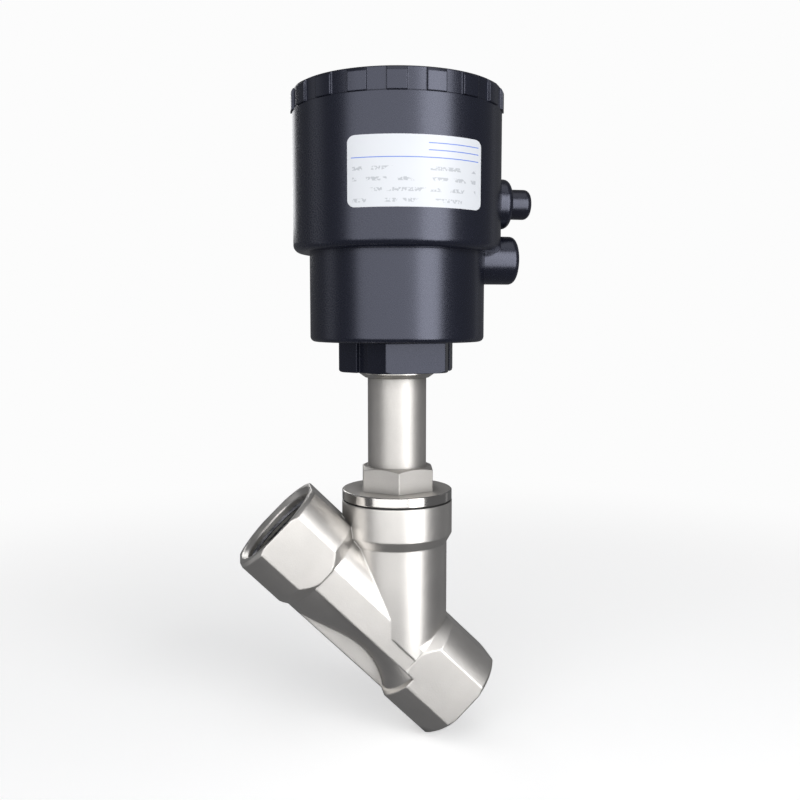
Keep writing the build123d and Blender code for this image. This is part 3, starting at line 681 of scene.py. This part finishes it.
class VALVE_OT_finishes(bpy.types.Operator):
    """Makes every finish and gives it to the solid pieces"""

    bl_idname = "valve.finishes"
    bl_label = "Finishes"

    def execute(self, context):
        wanted = context.scene.valve_finish
        dress(
            ["body_casting"],
            blasted_casting("stainless_body_blasted", wanted.casting, port_cuts, 0.32),
        )
        dress(
            ["bonnet"],
            blasted_casting("stainless_bonnet_blasted", "D3D0CC", flange_cut, 0.15, 0.50, 0.5),
        )
        turned = turned_steel("stainless_turned", wanted.machined)
        dress(
            [
                "stem",
                "plug_disc",
                "disc_washer",
                "disc_screw",
                "disc_pin",
                "gland_screw",
                "support_washer",
                "piston_washer",
                "piston_nut",
                "spacer_tube",
            ],
            turned,
        )
        wire = turned_steel("spring_steel_drawn", "8A8B8E", 0.34)
        dress(["retaining_ring", "outer_spring", "inner_spring"], wire)
        dress([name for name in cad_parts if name.startswith("disc_spring")], wire)
        rubber = moulded_rubber("nitrile_moulded", "161616")
        dress(["bonnet_gasket", "swivel_oring", "cap_oring", "piston_seal", "rod_seal"], rubber)
        bronze = turned_steel("bronze_turned", "B98A4E", 0.30)
        dress(["guide_bush", "upper_guide_bush"], bronze)
        ptfe = skived_ptfe("ptfe_turned", "ECECE8")
        dress(["packing_bottom_ring", "packing_top_ring", "disc_seal", "piston_guide_ring"], ptfe)
        dress([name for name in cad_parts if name.startswith("packing_ring")], ptfe)
        nylon = moulded_nylon("nylon_moulded", wanted.nylon)
        dress(["cylinder_housing", "top_cap"], nylon)
        dress(["actuator_nut"], moulded_nylon("nylon_nut_moulded", "12141D", 0.24, 0.45, 0.38))
        dress(["vent_plug"], moulded_nylon("nylon_vent_moulded", "0F1018", 0.30, 0.5, 0.7))
        dress(["piston"], turned_steel("aluminium_turned", "D5D6D8", 0.32))
        # painted shade: the thread ridges get a darker, bluer steel than the turned faces, so the
        # inside of the deep bores looks shaded
        turned_steel("stainless_threaded_painted_shade", "9A9CA3", 0.24)
        dress(["name_label"], printed_film("label_film_printed", wanted.label))
        dress(["indicator_lens"], clear_moulding("polycarbonate_clear"))
        dress(["position_indicator"], moulded_nylon("acetal_red_moulded", "B3231C", 0.35, 0.3))
        return {"FINISHED"}


class VALVE_OT_port_threads(bpy.types.Operator):
    """Winds the pipe threads inside the two ports"""

    bl_idname = "valve.port_threads"
    bl_label = "Port threads"

    def execute(self, context):
        size = context.scene.valve_threads
        spans = {"inlet_thread": INLET_SPAN, "outlet_thread": OUTLET_SPAN}
        for name, (low, high) in spans.items():
            piece = thread_ridge(size.pipe_radius, size.pipe_pitch, size.pipe_depth, low, high)
            piece.rotation_euler = (0, FLOW_TURN, 0)
            finish_piece(name, "valve", material("stainless_threaded_painted_shade"), 30)
        return {"FINISHED"}


class VALVE_OT_air_thread(bpy.types.Operator):
    """Winds the air thread inside the lower boss"""

    bl_idname = "valve.air_thread"
    bl_label = "Air thread"

    def execute(self, context):
        size = context.scene.valve_threads
        piece = thread_ridge(size.air_radius, size.air_pitch, size.air_depth, *AIR_SPAN)
        piece.rotation_euler = (0, math.radians(90), 0)
        piece.location = (0, 0, AIR_HEIGHT)
        finish_piece("air_thread", "actuator", material("nylon_moulded"), 30)
        return {"FINISHED"}


class VALVE_OT_springs(bpy.types.Operator):
    """Winds the two closing springs at the length of their CAD parts; in the valve they shorten as
    the stem lifts, but these coils stay still
    """

    bl_idname = "valve.springs"
    bl_label = "Springs"

    def execute(self, context):
        size = context.scene.valve_springs
        plans = [
            ("outer_spring_coil", "outer_spring", size.outer_wire, size.outer_turns),
            ("inner_spring_coil", "inner_spring", size.inner_wire, size.inner_turns),
        ]
        for name, cad, wire, turns in plans:
            low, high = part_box(cad)
            foot = low.z + wire
            span = high.z - low.z - 2 * wire
            mean = high.x - wire
            coil = wound(14, wire, mean, span / turns, turns, foot, 40)
            ends = [coil]
            for height in (foot, foot + span):
                bpy.ops.object.select_all(action="DESELECT")
                bpy.ops.mesh.primitive_torus_add(
                    location=(0, 0, height),
                    major_radius=mean,
                    minor_radius=wire * 0.999,
                    major_segments=64,
                    minor_segments=14,
                )
                ends.append(bpy.context.object)
            for end in ends:
                end.select_set(True)
            bpy.context.view_layer.objects.active = coil
            bpy.ops.object.join()
            piece = finish_piece(name, "actuator", material("spring_steel_drawn"))
            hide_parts(cad)
            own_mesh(piece)
        return {"FINISHED"}


# Name, azimuth from the front, elevation, distance, width, height, brightness of the face.
# The key makes the stripe down the light side, the front box lights the flats, the low side
# boxes leave the edges dark, and the back box reaches the rim of the upper port.
BOXES = (
    ("key_box", 31, 6, 0.80, 0.44, 1.00, 4.2),
    ("front_box", -23, 8, 0.90, 1.44, 0.95, 1.75),
    ("left_box", -104, 5, 0.80, 0.25, 1.00, 0.35),
    ("right_box", 116, 5, 0.80, 0.10, 1.00, 0.2),
    ("back_box", -166, 20, 0.80, 0.32, 0.30, 2.2),
    ("top_box", 10, 72, 0.80, 0.60, 0.60, 0.9),
)


def softbox(name, turn, rise, far, wide, tall, glow):
    """A soft light that stands at that azimuth and elevation and looks at the valve."""
    middle = Vector((0, 0, 0.10))
    turn, rise = math.radians(turn), math.radians(rise)
    flat = math.cos(rise)
    away = Vector((math.sin(turn) * flat, -math.cos(turn) * flat, math.sin(rise)))
    light = bpy.data.lights.new(name, "AREA")
    light.shape = "RECTANGLE"
    light.size = wide
    light.size_y = tall
    light.energy = glow * math.pi * wide * tall
    lamp = bpy.data.objects.new(name, light)
    bpy.context.scene.collection.objects.link(lamp)
    lamp.visible_camera = False
    lamp.location = middle + away * far
    lamp.rotation_euler = (-away).to_track_quat("-Z", "Y").to_euler()
    return lamp


class VALVE_OT_stage(bpy.types.Operator):
    """Sets the floor, the soft light and the camera"""

    bl_idname = "valve.stage"
    bl_label = "Stage"

    def execute(self, context):
        size = context.scene.valve_stage
        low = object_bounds()[0][2]
        start_piece()
        bpy.ops.mesh.primitive_plane_add(size=size.floor_size, location=(0, 0, low))
        floor = bpy.context.object
        floor.name = "studio_floor"
        made, tree, shader, place = new_material("paper_sweep")
        cloud = node(
            tree, "ShaderNodeTexNoise", {"Scale": 1000 / 400.0, "Detail": 1.0}, {"Vector": place}
        )
        paper = node(
            tree,
            "ShaderNodeMix",
            {"data_type": "RGBA", 6: linear("F1F1F1"), 7: linear("F4F4F4")},
            {0: cloud},
            2,
        )
        # far from the valve the paper glows as bright as the room, so no edge shows
        away = node(tree, "ShaderNodeVectorMath", {"operation": "LENGTH"}, {0: place}, "Value")
        far = node(
            tree,
            "ShaderNodeMapRange",
            {"interpolation_type": "SMOOTHSTEP", "From Min": 0.10, "From Max": 0.55},
            {0: away},
        )
        base = node(
            tree,
            "ShaderNodeMix",
            {"data_type": "RGBA", 7: (0.0, 0.0, 0.0, 1.0)},
            {0: far, 6: paper},
            2,
        )
        glow = node(tree, "ShaderNodeMapRange", {"To Min": size.paper, "To Max": 1.0}, {0: far})
        tree.links.new(base, shader.inputs["Base Color"])
        tree.links.new(glow, shader.inputs["Emission Strength"])
        shader.inputs["Emission Color"].default_value = linear("FCFCFC")
        shader.inputs["Roughness"].default_value = 0.9
        shader.inputs["Specular IOR Level"].default_value = 0.0
        floor.data.materials.append(made)
        floor.visible_glossy = False
        floor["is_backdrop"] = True
        world = context.scene.world or bpy.data.worlds.new("studio_air")
        context.scene.world = world
        world.use_nodes = True
        air = world.node_tree
        dim = air.nodes["Background"]
        dim.inputs[0].default_value = linear("F3F4F8")
        dim.inputs[1].default_value = size.air
        bright = node(air, "ShaderNodeBackground", {"Color": linear("FCFCFC"), "Strength": 1.0})
        seen = node(air, "ShaderNodeLightPath", out="Is Camera Ray")
        both = node(air, "ShaderNodeMixShader", {}, {0: seen, 1: dim.outputs[0], 2: bright})
        air.links.new(both, air.nodes["World Output"].inputs[0])
        for name, turn, rise, far, wide, tall, glow in BOXES:
            softbox(name, turn, rise, far, wide, tall, glow)
        context.scene.view_settings.view_transform = "Standard"
        side = Vector((math.sin(size.azimuth), -math.cos(size.azimuth), 0))
        lens = bpy.data.cameras.new("view")
        lens.lens = size.lens
        lens.sensor_width = 36.0
        lens.clip_start = 0.01
        lens.clip_end = 50.0
        lens.shift_x = size.shift
        camera = bpy.data.objects.new("view", lens)
        context.scene.collection.objects.link(camera)
        camera.location = side * size.distance + Vector((0, 0, size.height))
        camera.rotation_euler = (math.radians(90) - size.pitch, 0, size.azimuth)
        context.scene.camera = camera
        return {"FINISHED"}


class VALVE_PT_panel(bpy.types.Panel):
    bl_idname = "VALVE_PT_panel"
    bl_label = "Angle seat valve"
    bl_space_type = "VIEW_3D"
    bl_region_type = "UI"
    bl_category = "Valve"

    def draw(self, context):
        for group in (
            context.scene.valve_threads,
            context.scene.valve_springs,
            context.scene.valve_finish,
            context.scene.valve_stage,
        ):
            box = self.layout.box()
            for key in group.bl_rna.properties.keys():
                if key not in ("rna_type", "name"):
                    box.prop(group, key)
        for step in STEPS:
            self.layout.operator(step.bl_idname)


STEPS = (
    VALVE_OT_finishes,
    VALVE_OT_port_threads,
    VALVE_OT_air_thread,
    VALVE_OT_springs,
    VALVE_OT_stage,
)
GROUPS = (ThreadSettings, SpringSettings, FinishSettings, StageSettings)


def register():
    for made in (*GROUPS, *STEPS, VALVE_PT_panel):
        bpy.utils.register_class(made)
    scene = bpy.types.Scene
    scene.valve_threads = bpy.props.PointerProperty(type=ThreadSettings)
    scene.valve_springs = bpy.props.PointerProperty(type=SpringSettings)
    scene.valve_finish = bpy.props.PointerProperty(type=FinishSettings)
    scene.valve_stage = bpy.props.PointerProperty(type=StageSettings)


def unregister():
    scene = bpy.types.Scene
    del scene.valve_stage
    del scene.valve_finish
    del scene.valve_springs
    del scene.valve_threads
    for made in reversed((*GROUPS, *STEPS, VALVE_PT_panel)):
        bpy.utils.unregister_class(made)


def main():
    register()
    bpy.ops.valve.finishes()
    bpy.ops.valve.port_threads()
    bpy.ops.valve.air_thread()
    bpy.ops.valve.springs()
    bpy.ops.valve.stage()


if __name__ == "__main__":
    main()
